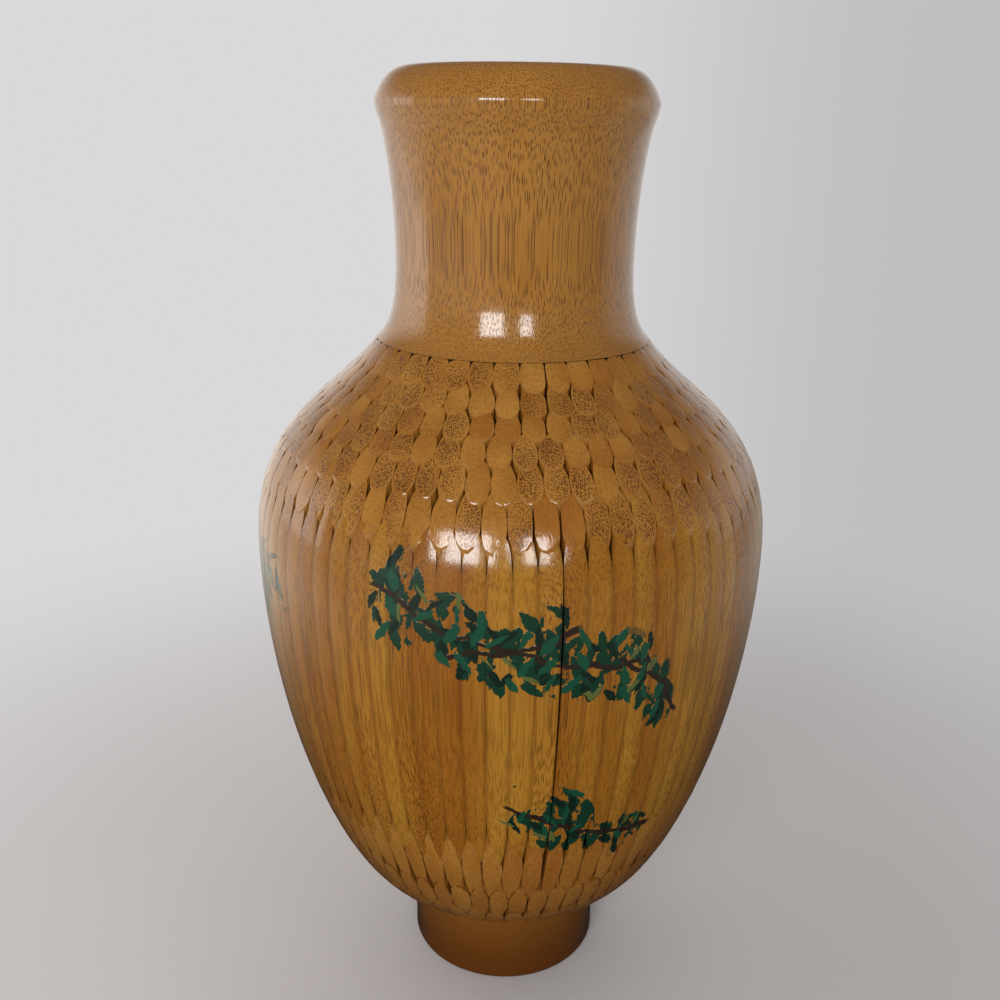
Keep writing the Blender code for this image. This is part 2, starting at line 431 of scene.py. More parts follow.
    def leaves(self, sheet: Sheet, spot: Value, layer: LeafLayer) -> tuple[Value, Value]:
        """Scatter leaves, one to a cell.

        Args:
            sheet: The sheet of the material.
            spot: The place, in cells of the layer.
            layer: The layer.

        Returns:
            Where leaves lie, from 0 to 1, and the centres of their cells.
        """
        _, chance, centre = sheet.cells(spot)
        right, rise, _ = (spot - centre).parts()
        lean, pick, width = chance.parts()
        angle = lean * 2.2 + 0.5
        cosine = angle.apply("COSINE")
        sine = angle.apply("SINE")
        long = right * cosine + rise * sine
        wide = rise * cosine - right * sine
        belly = 1.0 - (long / self.leaf_half) * (long / self.leaf_half)
        reach = belly.most(0.0) * (width * 0.12 + layer.width)
        shape = (reach - wide.apply("ABSOLUTE")).step(-0.01, 0.03)
        kept = pick.step(layer.left_out - 0.01, layer.left_out + 0.01)
        return shape * kept, centre


# Finishes


@dataclass(frozen=True)
class BambooFinish:
    """Cut bamboo under amber lacquer, with fibres that run upright.

    Pitches and heights are in metres. Towards the foot the colour darkens from one height down
    to another, by a share of the whole: partly a real reddish stain, partly painted shade.
    """

    name: str
    pale: Colour = (0.42, 0.196, 0.034)
    deep: Colour = (0.28, 0.102, 0.012)
    red: Colour = (0.27, 0.080, 0.010)
    # Pale colour of the outer rim lines: partly a pale edge of the wood, partly a painted glint.
    fibre: Colour = (0.105, 0.030, 0.0004)
    pale_rim_and_glint: Colour = (0.46, 0.29, 0.12)
    # Colour that the body darkens to towards the foot: a real reddish stain, deepened as painted
    # shade.
    stain: Colour = (0.122, 0.037, 0.0045)
    pitch: float = 0.00058
    wander: float = 0.16
    jumble: float = 0.65
    thickness: float = 0.30
    fade: float = 0.30
    mottle: float = 0.7
    streaks: float = 0.32
    streak_pitch: float = 0.00067
    smooth_below: float = 0.120
    # Where painted shade starts on the rims and how strong it is, as in the valleys between rounded
    # rod ends.
    rim_start: float = 0.80
    rim_shade: float = 0.16
    # Strength of the pale rim lines, which are partly painted glints.
    glint: float = 0.35
    roughness: float = 0.13
    coat: float = 0.40
    grain_depth: float = 0.00013
    fibre_edge: float = 0.07
    dot_fade: float = 0.025
    # Strength of the dark strokes low on the body: painted shade of the slits, along with dark
    # glue.
    stroke: float = 0.75
    # Bands that darken the colour towards the foot: partly a real stain, partly painted shade of
    # the lower body and foot.
    low_stain_and_shade: tuple[tuple[float, float, float], ...] = (
        (0.100, 0.034, 0.40),
        (0.037, 0.029, 0.28),
        (0.034, 0.002, 0.32),
    )
    rods: bool = True

    def material(self, outline: "Outline", paint: LeafPaint | None = None) -> Material:
        """Make the material.

        Args:
            outline: The turned outline, whose taper the fibres follow.
            paint: The paint over the lacquer, if there is any.

        Returns:
            The material.
        """
        material, sheet = new_material(self.name)
        place = sheet.place()
        height = place.parts()[2]
        fibres = outline.straighten(sheet, place)
        if self.rods:
            shift = sheet.attribute("shift")
            tone, hue, dots = sheet.attribute("rod", "Color").parts()
            dots = dots * sheet.attribute("rim", "Fac").step(0.97, 0.80)
            dots = dots * height.step(self.smooth_below - self.dot_fade, self.smooth_below)
        else:
            shift = sheet.vector(0.0, 0.0, 0.0)
            tone = sheet.noise(place, 22.0, 2.0) * 0.9 + 0.02
            hue = sheet.noise(place + (0.3, 0.1, 0.0), 14.0, 1.0) * 0.45
            dots = sheet.noise(place + (0.7, 0.1, 0.0), 30.0, 2.0) * 0.35 + 0.78
            dots = dots * height.step(0.012, 0.070)
        fibre, dark = self.fibres(sheet, fibres, shift, dots)
        streak = (1.0 / self.streak_pitch, 1.0 / self.streak_pitch, 45.0)
        flow = sheet.noise(fibres * streak + shift, 1.0, 3.0)
        cloud = sheet.noise(fibres * (150.0, 150.0, 38.0) + shift * 0.6, 1.0, 3.0)
        cloud = (cloud - 0.5) * self.mottle
        ground = sheet.mix((tone * 0.75 + cloud + 0.07).most(0.0), self.pale, self.deep)
        ground = sheet.mix((hue * 0.9 + cloud * 0.55 - 0.10).most(0.0), ground, self.red)
        low = height.step(0.030, 0.060) * 0.3 + 0.7
        ground = sheet.mix(flow.step(0.42, 0.70) * low * self.streaks, ground, self.fibre)
        ground = sheet.mix(fibre * (dark * self.fade + (1.0 - self.fade)), ground, self.fibre)
        if self.rods:
            ground = self.rims(sheet, place, shift, ground)
        # Painted shade mixed with a real stain: the colour darkens towards the foot, where less
        # light reaches.
        stain_and_low_shade = sum(height.step(high, low) * share for high, low, share in self.low_stain_and_shade)
        ground = sheet.mix(stain_and_low_shade, ground, self.stain)
        relief = flow * 0.4 - fibre * 0.9
        if paint is not None:
            ground, cover = paint.lay(sheet, place, ground)
            relief = relief * (1.0 - cover * 0.6) + cover * 1.2
        sheet.surface(
            Base_Color=ground,
            Roughness=fibre * 0.05 + flow * 0.06 + (self.roughness - 0.03),
            Normal=sheet.bump(relief, 0.85, self.grain_depth),
            Specular_IOR_Level=0.5,
            Coat_Weight=self.coat,
            Coat_Roughness=0.06,
            Coat_IOR=1.5,
        )
        return material

    def fibres(self, sheet: Sheet, fibres: Value, shift: Value, dots: Value) -> tuple[Value, Value]:
        """Draw the cut fibres, as dots across the grain and as lines along it.

        Args:
            sheet: The sheet of the material.
            fibres: The coordinates in which the fibres run upright.
            shift: The rod's own place in the pattern.
            dots: The size of the fibres, 0 where none show.

        Returns:
            Where the fibres lie, and how dark each is, both from 0 to 1.
        """
        wander = sheet.noise(fibres * (700.0, 700.0, 60.0), 1.0, 1.0, 1) - (0.5, 0.5, 0.5)
        fine = fibres * (1.0 / self.pitch, 1.0 / self.pitch, 0.0) + shift + wander * self.wander
        distance, chance, _ = sheet.cells(fine, self.jumble)
        size, dark, _ = chance.parts()
        reach = dots * self.thickness * (size * 0.5 + 0.75)
        fibre = distance.step(reach + self.fibre_edge, reach - self.fibre_edge)
        return fibre * dots.step(0.02, 0.10), dark

    def rims(self, sheet: Sheet, place: Value, shift: Value, ground: Value) -> Value:
        """Shade the rims of the rod ends.

        Args:
            sheet: The sheet of the material.
            place: The Object coordinates.
            shift: The rod's own place in the pattern.
            ground: The colour so far.

        Returns:
            The colour with painted shade on the rims, dark strokes low on the body that are
            painted shade of the slits along with dark glue, and pale lines on the outer rims that
            are partly a pale edge and partly painted glints.
        """
        rim = sheet.attribute("rim", "Fac")
        patches = sheet.noise(place * (260.0, 260.0, 160.0) + shift, 1.0, 2.0)
        # Painted shade: the rims darken towards the fibre colour, as in the valleys between the
        # rounded rod ends.
        ground = sheet.mix(rim.step(self.rim_start, 0.98) * self.rim_shade, ground, self.fibre)
        # Short dark strokes at the rims low on the body: painted shade of the slits between rods,
        # along with dark glue.
        low = place.parts()[2].step(0.090, 0.066)
        strokes = rim.step(0.86, 0.97) * low * patches.step(0.58, 0.46) * self.stroke
        ground = sheet.mix(strokes, ground, self.fibre)
        # Pale lines along the outer rims: partly a pale edge of the wood, partly painted glints.
        line = rim.step(0.84, 0.91) * rim.step(0.98, 0.93) * sheet.attribute("edge", "Fac")
        return sheet.mix(line * patches.step(0.42, 0.62) * self.glint, ground, self.pale_rim_and_glint)


@dataclass(frozen=True)
class GlueFinish:
    """The glue-stained side of a rod, deep in the seams."""

    name: str = "glue_stain"
    dark: Colour = (0.007, 0.0024, 0.0012)
    brown: Colour = (0.020, 0.007, 0.0025)

    def material(self) -> Material:
        """Make the material.

        Returns:
            The material.
        """
        material, sheet = new_material(self.name)
        place = sheet.place()
        stain = sheet.noise(place * (500.0, 500.0, 90.0), 1.0, 3.0)
        colour = sheet.mix(stain.step(0.35, 0.75), self.dark, self.brown)
        sheet.surface(
            Base_Color=colour,
            Roughness=stain * 0.2 + 0.42,
            Normal=sheet.bump(stain, 0.6, 0.0002),
            Specular_IOR_Level=0.12,
        )
        return material


@dataclass(frozen=True)
class FloorWoodFinish:
    """Dark stained wood of the floor in the bore, with straight grain."""

    name: str = "floor_wood"
    dark: Colour = (0.105, 0.048, 0.018)
    light: Colour = (0.24, 0.125, 0.052)

    def material(self) -> Material:
        """Make the material.

        Returns:
            The material.
        """
        material, sheet = new_material(self.name)
        place = sheet.place()
        bend = sheet.noise(place * (60.0, 60.0, 60.0), 1.0, 2.0)
        grain = sheet.noise(place * (1500.0, 45.0, 400.0) + bend * 3.0, 1.0, 3.0)
        colour = sheet.mix(grain.step(0.3, 0.7), self.dark, self.light)
        sheet.surface(
            Base_Color=colour,
            Roughness=grain * 0.2 + 0.45,
            Normal=sheet.bump(grain, 0.5, 0.0002),
        )
        return material


# The turned outline


def bezier(start: Pair, end: Pair, start_pull: Pair, end_pull: Pair, count: int) -> Rows:
    """Return points (radius, height) on a Bezier curve, with both ends.

    Args:
        start: The first point.
        end: The last point.
        start_pull: How far the first handle moves towards the end, as shares of the step.
        end_pull: How far the last handle moves towards the start, as shares of the step.
        count: The number of points.

    Returns:
        An array of shape (count, 2).
    """
    first, last = np.array(start), np.array(end)
    step = last - first
    handles = first + step * start_pull, last - step * end_pull
    t = np.linspace(0.0, 1.0, count)[:, None]
    curve = (1 - t) ** 3 * first + 3 * (1 - t) ** 2 * t * handles[0]
    return curve + 3 * (1 - t) * t**2 * handles[1] + t**3 * last


@dataclass
class Outline:
    """The outline that the bundle is turned to, and the taper of the bundle towards the foot.

    A straight radius is the one that a point has once the taper is taken away. The rows of both
    branches hold the straight radius, the radius and the height, from the widest point outwards.
    """

    belly: Pair = (0.0841, 0.162)
    neck: Pair = (0.0436, 0.2275)
    base: Pair = (0.0436, 0.0345)
    foot: Pair = (0.0335, 0.027)
    taper: float = 0.95546
    samples: int = 600
    upper: Rows = field(init=False)
    under: Rows = field(init=False)

    def __post_init__(self) -> None:
        """Sample both branches."""
        shoulder = bezier(self.belly, self.neck, (0.0, 0.618), (0.369, 0.302), self.samples)
        lower = bezier(self.belly, self.base, (0.0, 0.462), (0.448, 0.034), self.samples)
        whole = np.concatenate([shoulder[::-1], lower[1:], self.foot_curve()[1:]])
        straight = whole[:, 0] / self.share(whole[:, 1])
        rows = np.column_stack([straight, whole])[straight > self.neck[0] - 1e-9]
        widest = int(np.argmax(rows[:, 0]))
        self.upper, self.under = rows[widest::-1], rows[widest:]

    def share(self, height: Rows) -> Rows:
        """Return the width of the bundle at each height as a share of that at the neck's base."""
        return 1.0 - self.taper * (self.neck[1] - height)

    def straighten(self, sheet: Sheet, place: Value) -> Value:
        """Return the Object coordinates with the taper taken away, so that fibres run upright."""
        share = 1.0 - (self.neck[1] - place.parts()[2]) * self.taper
        return place / sheet.vector(share, share, 1.0)

    def foot_curve(self) -> Rows:
        """Return the outline from the base of the body in to the foot."""
        return bezier(self.base, self.foot, (0.6, 0.1), (0.0, 0.5), self.samples)

    def culm_base(self, count: int) -> Rows:
        """Pick out the culm's own part of that curve, below the ends of the rods.

        Args:
            count: The number of points.

        Returns:
            The points (radius, height) from the rods down to the foot.
        """
        curve = self.foot_curve()
        own = curve[curve[:, 0] <= self.neck[0] * self.share(curve[:, 1])]
        return own[np.linspace(0, len(own) - 1, count).round().astype(int)]

    def height(self, straight: Rows, top: bool) -> Rows:
        """Return the height of the shoulder, or of the lower body, at each straight radius."""
        branch = (self.upper if top else self.under)[::-1]
        return np.interp(straight, branch[:, 0], branch[:, 2])

    def normal(self, straight: Rows, top: bool) -> Rows:
        """Work out the outward normals of a branch.

        Args:
            straight: Straight radii.
            top: Whether they lie on the shoulder, not on the lower body.

        Returns:
            The normals (radial, upward), one row for each radius.
        """
        branch = (self.upper if top else self.under)[::-1]
        slope = np.gradient(branch[:, 1:], axis=0) * (-1.0 if top else 1.0)
        out = np.stack([slope[:, 1], -slope[:, 0]], axis=1)
        out /= np.linalg.norm(out, axis=1, keepdims=True)
        return np.stack([np.interp(straight, branch[:, 0], out[:, i]) for i in range(2)], axis=1)

    def belly_points(self, inner: float, shares: Rows) -> Rows:
        """Return points of the outline round the belly.

        Args:
            inner: The straight radius at which the belly's strips end.
            shares: Places from 0 at the lower end to 1 at the upper end.

        Returns:
            Straight radii, radii and heights, one row for each place.
        """
        whole = np.concatenate([self.under[::-1], self.upper[1:]])
        whole = whole[whole[:, 0] >= inner]
        step = np.linalg.norm(np.diff(whole[:, 1:], axis=0), axis=1)
        run = np.concatenate([[0.0], np.cumsum(step)])
        wanted = shares * run[-1]
        return np.stack([np.interp(wanted, run, whole[:, i]) for i in range(3)], axis=1)


# Modelling helpers


def start_clean() -> None:
    """Leave nothing selected, so that operators reach only new pieces."""
    bpy.ops.object.select_all(action="DESELECT")


def apply_modifier(item: Item, kind: str, settings: dict) -> None:
    """Add a modifier, set it and apply it.

    Args:
        item: The piece.
        kind: The modifier's type name.
        settings: Its properties.
    """
    modifier = item.modifiers.new(kind.title(), kind)
    for name, setting in settings.items():
        setattr(modifier, name, setting)
    bpy.context.view_layer.objects.active = item
    bpy.ops.object.modifier_apply(modifier=modifier.name)


def points_of(item: Item) -> Rows:
    """Read the vertices of a piece.

    Args:
        item: The piece.

    Returns:
        Their places, one row for each.
    """
    flat = np.zeros(len(item.data.vertices) * 3)
    item.data.vertices.foreach_get("co", flat)
    return flat.reshape(-1, 3)


def set_points(item: Item, points: Rows) -> None:
    """Move the vertices of a piece."""
    item.data.vertices.foreach_set("co", points.astype(np.float32).ravel())
    item.data.update()


def write_attribute(item: Item, name: str, kind: str, rows: Rows) -> None:
    """Store one value a vertex on a piece.

    Args:
        item: The piece.
        name: The attribute's name.
        kind: Its data type.
        rows: The values, one row for each vertex.
    """
    layer = item.data.attributes.new(name, kind, "POINT")
    field_name = {"FLOAT": "value", "FLOAT_VECTOR": "vector", "FLOAT_COLOR": "color"}[kind]
    layer.data.foreach_set(field_name, rows.astype(np.float32).ravel())


def smooth_by_angle(item: Item, degrees: float) -> None:
    """Shade a piece smooth, with sharp edges where faces meet steeply.

    Args:
        item: The piece.
        degrees: The angle above which an edge is sharp.
    """
    start_clean()
    item.select_set(True)
    bpy.context.view_layer.objects.active = item
    bpy.ops.object.shade_smooth_by_angle(angle=math.radians(degrees))


def set_materials(item: Item, *materials: Material) -> None:
    """Give a piece its materials.

    Args:
        item: The piece.
        materials: The materials, slot by slot.
    """
    item.data.materials.clear()
    for material in materials:
        item.data.materials.append(material)


# Rods


@dataclass
class RodBundle:
    """What all rings share: the rods' sizes and section, and the outline they are turned to.

    The widths and radii are those that the taper gives at the height of the neck's base.
    """

    outline: Outline
    width: float = 0.0073
    ring_step: float = 0.006287
    ring_spread: float = 0.00017
    culm_glue: float = 0.00035
    ring_glue: float = 0.00025
    outer_power: float = 2.15
    outer_reach: float = 1.17
    overlap: float = 1.022
    starts: tuple[float, ...] = (3.2, -2.74, 4.28, -3.06, 4.14, 1.79, 2.0)
    groups: int = 6

    def edge(self, index: int) -> float:
        """Return the radius of the glue line inside a ring."""
        first = self.outline.neck[0] + self.culm_glue - self.ring_glue / 2.0
        return first + index * self.ring_step + index * (index - 1) / 2.0 * self.ring_spread

    def ring_radius(self, index: int) -> float:
        """Return the radius of a ring's rod centres."""
        return (self.edge(index) + self.edge(index + 1)) / 2.0

    def half_depth(self, index: int) -> float:
        """Return half the room that a ring has between its glue lines."""
        return (self.edge(index + 1) - self.edge(index)) / 2.0

    def rod_count(self, index: int) -> int:
        """Return how many rods a ring has."""
        return int(math.tau * self.ring_radius(index) / self.width)

    def section(self, u: Rows, v: Rows, inner_power: float, keystone: float) -> tuple[Rows, Rows]:
        """Bend a square of side 2 to the section of a rod.

        Args:
            u: Places across the rod, from -1 to 1.
            v: Places from the side at the axis, -1, to the outer side, 1.
            inner_power: The squareness of the side at the axis.
            keystone: How much narrower that side is.

        Returns:
            The bent places, and how near the rim each is, from 0 to 1.
        """
        across = u * np.sqrt(1.0 - v * v / 2.0)
        outward = v * np.sqrt(1.0 - u * u / 2.0)
        rim = np.hypot(across, outward)
        safe = np.where(rim > 1e-9, rim, 1.0)
        power = np.where(outward < 0.0, inner_power, self.outer_power)
        stretch = np.abs(across / safe) ** power + np.abs(outward / safe) ** power
        stretch = np.where(rim > 1e-9, stretch, 1.0) ** (-1.0 / power)
        narrow = 1.0 - keystone * np.clip(-outward * stretch, 0.0, 1.0)
        return np.stack([across * stretch * narrow, outward * stretch], axis=-1), rim


@dataclass(frozen=True)
class OpenJoint:
    """A glue joint that has come open between two rods of a ring."""

    ring: int
    place: float
    top_gap: float
    low_gap: float


OPEN_JOINTS = (
    OpenJoint(0, 1.20, 0.00050, 0.0),
    OpenJoint(1, 1.26, 0.00050, 0.0),
    OpenJoint(2, 1.28, 0.00045, 0.0),
    OpenJoint(4, 1.14, 0.0, 0.00060),
    OpenJoint(5, 0.79, 0.00060, 0.0),
    OpenJoint(5, 1.79, 0.00060, 0.00130),
    OpenJoint(6, 1.00, 0.00050, -0.00500),
    OpenJoint(6, 2.00, 0.00034, 0.00046),
)


@dataclass
class RodRing:
    """One ring of upright rods, each turned to the outline at both ends."""

    bundle: RodBundle
    index: int
    inner_power: float = 2.5
    inner_reach: float = 1.6
    keystone: float = 0.27
    crown: float = 0.00010
    shelf: float = 0.00010
    dotted: float = 1.0
    contrast: float = 0.6
    uneven: float = 0.00002
    widths: Pair = (0.985, 1.02)
    depths: Pair = (0.97, 1.02)
    turn: Pair = (-0.07, 0.08)
    stand_out: float = 0.00012
    belly_room: float = 0.00002
    joint_wander: float = 0.022
    smooth_share: float = 0.40
    lean: float = 0.22
    columns: int = 5
    item: Item | None = None

    @property
    def name(self) -> str:
        """Return the name of the piece."""
        return f"bamboo_rods_ring_{self.index + 1}"

    def nodes(self) -> list[str]:
        """Return the solids that the piece stands for."""
        return [f"ring_{self.index + 1}_rods_{n + 1}" for n in range(self.bundle.groups)]

    def chances(self) -> np.random.Generator:
        """Return the ring's own random numbers."""
        return np.random.default_rng(4100 + self.index)

    def blank(self, rows: int) -> Item:
        """Model one rod blank and copy it for each rod of the ring.

        Args:
            rows: The number of face rows on its end.

        Returns:
            The copies in a row along X, each 2 wide and 1 high.
        """
        start_clean()
        bpy.ops.mesh.primitive_grid_add(x_subdivisions=self.columns, y_subdivisions=rows, size=2.0)
        item = bpy.context.object
        item.name = self.name
        item.data.name = self.name
        apply_modifier(item, "SOLIDIFY", {"thickness": 1.0, "offset": -1.0})
        for face in item.data.polygons:
            face.material_index = GLUE_SLOT if abs(face.normal.z) < 0.5 else WOOD_SLOT
        copies = {
            "count": self.bundle.rod_count(self.index),
            "use_relative_offset": False,
            "use_constant_offset": True,
            "constant_offset_displace": (BLANK_PITCH, 0.0, 0.0),
        }
        apply_modifier(item, "ARRAY", copies)
        return item

    def edges(self) -> Rows:
        """Place the joints between the rods.

        Returns:
            Their places, counted in rods from the front towards +X.
        """
        count = self.bundle.rod_count(self.index)
        places = self.bundle.starts[self.index] + np.arange(count + 1.0)
        wander = np.random.default_rng(700 + self.index).normal(0.0, self.joint_wander, count)
        return places + np.append(wander, wander[0])

    def sides(self) -> tuple[Rows, Rows]:
        """Return each rod's azimuth from the front towards +X and its half width in radians."""
        turns = self.edges() * math.tau / self.bundle.rod_count(self.index)
        return (turns[1:] + turns[:-1]) / 2.0, (turns[1:] - turns[:-1]) / 2.0

    def open_sides(self, top: Rows, which: Rows, across: Rows, half: Rows) -> Rows:
        """Cut back the rods beside each open joint.

        Args:
            top: From 0 at the low end to 1 at the top, for each vertex.
            which: The rod of each vertex.
            across: The vertices' places across their rods.
            half: Half the room of each vertex's rod, joint to joint.

        Returns:
            The new places across the rods.
        """
        edges = self.edges()
        for joint in OPEN_JOINTS:
            if joint.ring != self.index:
                continue
            gap = joint.low_gap + (joint.top_gap - joint.low_gap) * top
            count = len(edges) - 1
            half_turn = count / 2.0
            off = np.mod(edges - joint.place + half_turn, count) - half_turn
            nearest = int(np.argmin(np.abs(off)))
            left, right = (nearest - 1) % count, nearest % count
            stop = half - gap / 2.0
            across = np.where((which == left) & (gap > 0.0), np.minimum(across, stop), across)
            across = np.where((which == right) & (gap > 0.0), np.maximum(across, -stop), across)
        return across

    def build(self) -> None:
        """Model the ring."""
        bundle, outline = self.bundle, self.bundle.outline
        item = self.blank(self.columns)
        chance = self.chances()
        count = bundle.rod_count(self.index)
        radius = bundle.ring_radius(self.index)
        raw, which = self.raw_points(item)
        across, outward = self.spread(raw[:, 0]), self.spread(raw[:, 1])
        section, rim = bundle.section(across, outward, self.inner_power, self.keystone)
        top = raw[:, 2] > -0.5
        angles, halves = self.sides()
        room = radius * halves
        half_width = room * bundle.overlap * chance.uniform(*self.widths, count)
        half_depth = bundle.half_depth(self.index) * chance.uniform(*self.depths, count)
        side_reach = np.where(section[:, 1] < 0.0, self.inner_reach, bundle.outer_reach)
        turn = chance.normal(*self.turn, count)[which]
        out = chance.normal(0.0, self.stand_out, count)[which]
        a = section[:, 0] * half_width[which]
        b = section[:, 1] * half_depth[which] * side_reach
        across = a * np.cos(turn) - b * np.sin(turn)
        across = self.open_sides(top.astype(float), which, across, room[which])
        outward = a * np.sin(turn) + b * np.cos(turn) + out
        theta = angles[which]
        x = (radius + outward) * np.sin(theta) + across * np.cos(theta)
        y = -(radius + outward) * np.cos(theta) + across * np.sin(theta)
        plan = np.hypot(x, y)
        tilt = chance.normal(0.0, self.uneven, (count, 3))[which]
        drop = self.crown * rim**2 + self.shelf * (0.5 - 0.5 * section[:, 1]) + np.abs(tilt[:, 0])
        drop = np.maximum(drop + (tilt[:, 1:] * section).sum(axis=1), LEAST_DROP)
        height = np.where(top, outline.height(plan, True), outline.height(plan, False))
        lean = np.where(top[:, None], outline.normal(plan, True), outline.normal(plan, False))
        inward = plan * outline.share(height) - drop * lean[:, 0]
        inward = np.minimum(inward, outline.belly[0] - self.belly_room) / plan
        set_points(item, np.stack([x * inward, y * inward, height - drop * lean[:, 1]], axis=1))
        self.finish(item, chance, which, section, rim)

    def raw_points(self, item: Item) -> tuple[Rows, Rows]:
        """Read the vertices of the blanks.

        Args:
            item: The blanks in their row.

        Returns:
            The places, each from its own blank's centre, and the rod of each vertex.
        """
        raw = points_of(item)
        which = np.rint(raw[:, 0] / BLANK_PITCH).astype(int)
        raw[:, 0] -= BLANK_PITCH * which
        return raw, which

    def spread(self, raw: Rows) -> Rows:
        """Move the inner lines of the grid towards the rim."""
        return np.sign(raw) * np.interp(np.abs(raw), [0.0, 0.2, 0.6, 1.0], [0.0, 0.34, 0.84, 1.0])

    def finish(
        self, item: Item, chance: np.random.Generator, which: Rows, section: Rows, rim: Rows
    ) -> None:
        """Store what the finish reads, each rod's own tone, hue, fibres and pattern.

        Args:
            item: The piece.
            chance: The ring's random numbers.
            which: The rod of each vertex.
            section: The places in the rods' sections, from -1 to 1.
            rim: How near the rim each vertex is, from 0 to 1.
        """
        count = self.bundle.rod_count(self.index)
        tone = np.clip(0.45 + (chance.beta(1.3, 1.6, count) - 0.45) * self.contrast, 0.0, 1.0)
        hue = chance.beta(0.9, 2.4, count) * 0.8
        smooth = chance.random(count) < self.smooth_share
        few, many = chance.uniform(0.0, 0.45, count), chance.uniform(0.85, 1.20, count)
        dots = np.where(smooth, few, many) * self.dotted
        lean = chance.normal(0.0, 1.0, (count, 2))
        lean *= self.lean / np.maximum(np.linalg.norm(lean, axis=1, keepdims=True), 1e-6)
        gradient = (section * lean[which]).sum(axis=1)
        dot_rows = np.clip(dots[which] + gradient * 1.2, 0.0, 1.5)
        tone_rows = np.clip(tone[which] + gradient * 1.1, 0.0, 1.0)
        colour = np.stack([tone_rows, hue[which], dot_rows, np.ones(len(which))], axis=1)
        write_attribute(item, "rod", "FLOAT_COLOR", colour)
        shift = chance.uniform(-40.0, 40.0, (count, 3))[which]
        write_attribute(item, "shift", "FLOAT_VECTOR", shift)
        write_attribute(item, "rim", "FLOAT", rim)
        outer = chance.uniform(0.0, 1.0, count)[which] * np.clip(0.55 + section[:, 1], 0.0, 1.0)
        write_attribute(item, "edge", "FLOAT", outer)
        smooth_by_angle(item, 42.0)
        self.item = item

    def dress(self, wood: Material, glue: Material) -> None:
        """Give the ring its finishes and let it stand for its solids.

        Args:
            wood: The finish of the turned faces.
            glue: The finish of the rods' sides.
        """
        set_materials(self.item, wood, glue)
        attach(self.item, BODY)
        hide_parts(*self.nodes())


@dataclass
class StripRing(RodRing):
    """The outermost ring, whose rods are turned to strips that are pointed at both ends."""

    widths: Pair = (0.99, 1.015)
    joint_wander: float = 0.0
    rows: int = 22
    columns: int = 6
    back_room: float = 0.0004
    least_reach: float = 0.05
    tip_start: float = 0.30

    def build(self) -> None:
        """Model the ring."""
        bundle = self.bundle
        item = self.blank(self.rows)
        chance = self.chances()
        count = bundle.rod_count(self.index)
        radius = bundle.ring_radius(self.index)
        half_depth = bundle.half_depth(self.index) * self.inner_reach
        raw, which = self.raw_points(item)
        u = raw[:, 0]
        u = np.sign(u) * np.interp(np.abs(u), [0.0, 1 / 3, 2 / 3, 1.0], [0.0, 0.42, 0.80, 1.0])
        front = raw[:, 2] > -0.5
        even, crowded = (raw[:, 1] + 1.0) / 2.0, 0.5 + 0.5 * np.sin(raw[:, 1] * math.pi / 2.0)
        share = 0.35 * even + 0.65 * crowded
        table = bundle.outline.belly_points(radius - half_depth + LEAST_DROP, share)
        offset = np.clip((radius - table[:, 0]) / half_depth, 0.0, 1.0)
        power = self.inner_power
        reach = np.clip(1.0 - offset**power, 0.0, 1.0) ** (1.0 / power)
        reach = np.maximum(reach * (1.0 - self.keystone * offset), self.least_reach)
        angles, halves = self.sides()
        room = radius * halves
        half_width = room * bundle.overlap * chance.uniform(*self.widths, count)
        across = u * reach * half_width[which]
        across = self.open_sides(share, which, across, room[which])
        rim = np.maximum(np.abs(u), np.clip(1.0 - reach / self.tip_start, 0.0, 1.0))
        drop = self.crown * rim**2 + self.shelf * offset
        drop += np.abs(chance.normal(0.0, self.uneven, count))[which] + LEAST_DROP
        share_out = np.clip(np.abs(across) / (half_width[which] * 1.02), 0.0, 1.0)
        back = radius - half_depth * (1.0 - share_out**power) ** (1.0 / power) - self.back_room
        theta = angles[which] + across / table[:, 0]
        lean = self.leaning(table)
        shrink = bundle.outline.share(table[:, 2])
        back = np.minimum(back * shrink, table[:, 1] - 0.0002)
        plan = np.where(front, table[:, 1] - drop * lean[:, 0], back)
        z = np.where(front, table[:, 2] - drop * lean[:, 1], table[:, 2])
        set_points(item, np.stack([plan * np.sin(theta), -plan * np.cos(theta), z], axis=1))
        self.finish(item, chance, which, np.stack([u, np.zeros(len(u))], axis=1), rim)

    def leaning(self, table: Rows) -> Rows:
        """Work out the outward normals round the belly.

        Args:
            table: Straight radii, radii and heights.

        Returns:
            The normals (radial, upward), one row for each.
        """
        outline = self.bundle.outline
        top = table[:, 2] > outline.upper[0, 2]
        upper = outline.normal(table[:, 0], True)
        lower = outline.normal(table[:, 0], False)
        return np.where(top[:, None], upper, lower)


# Culm


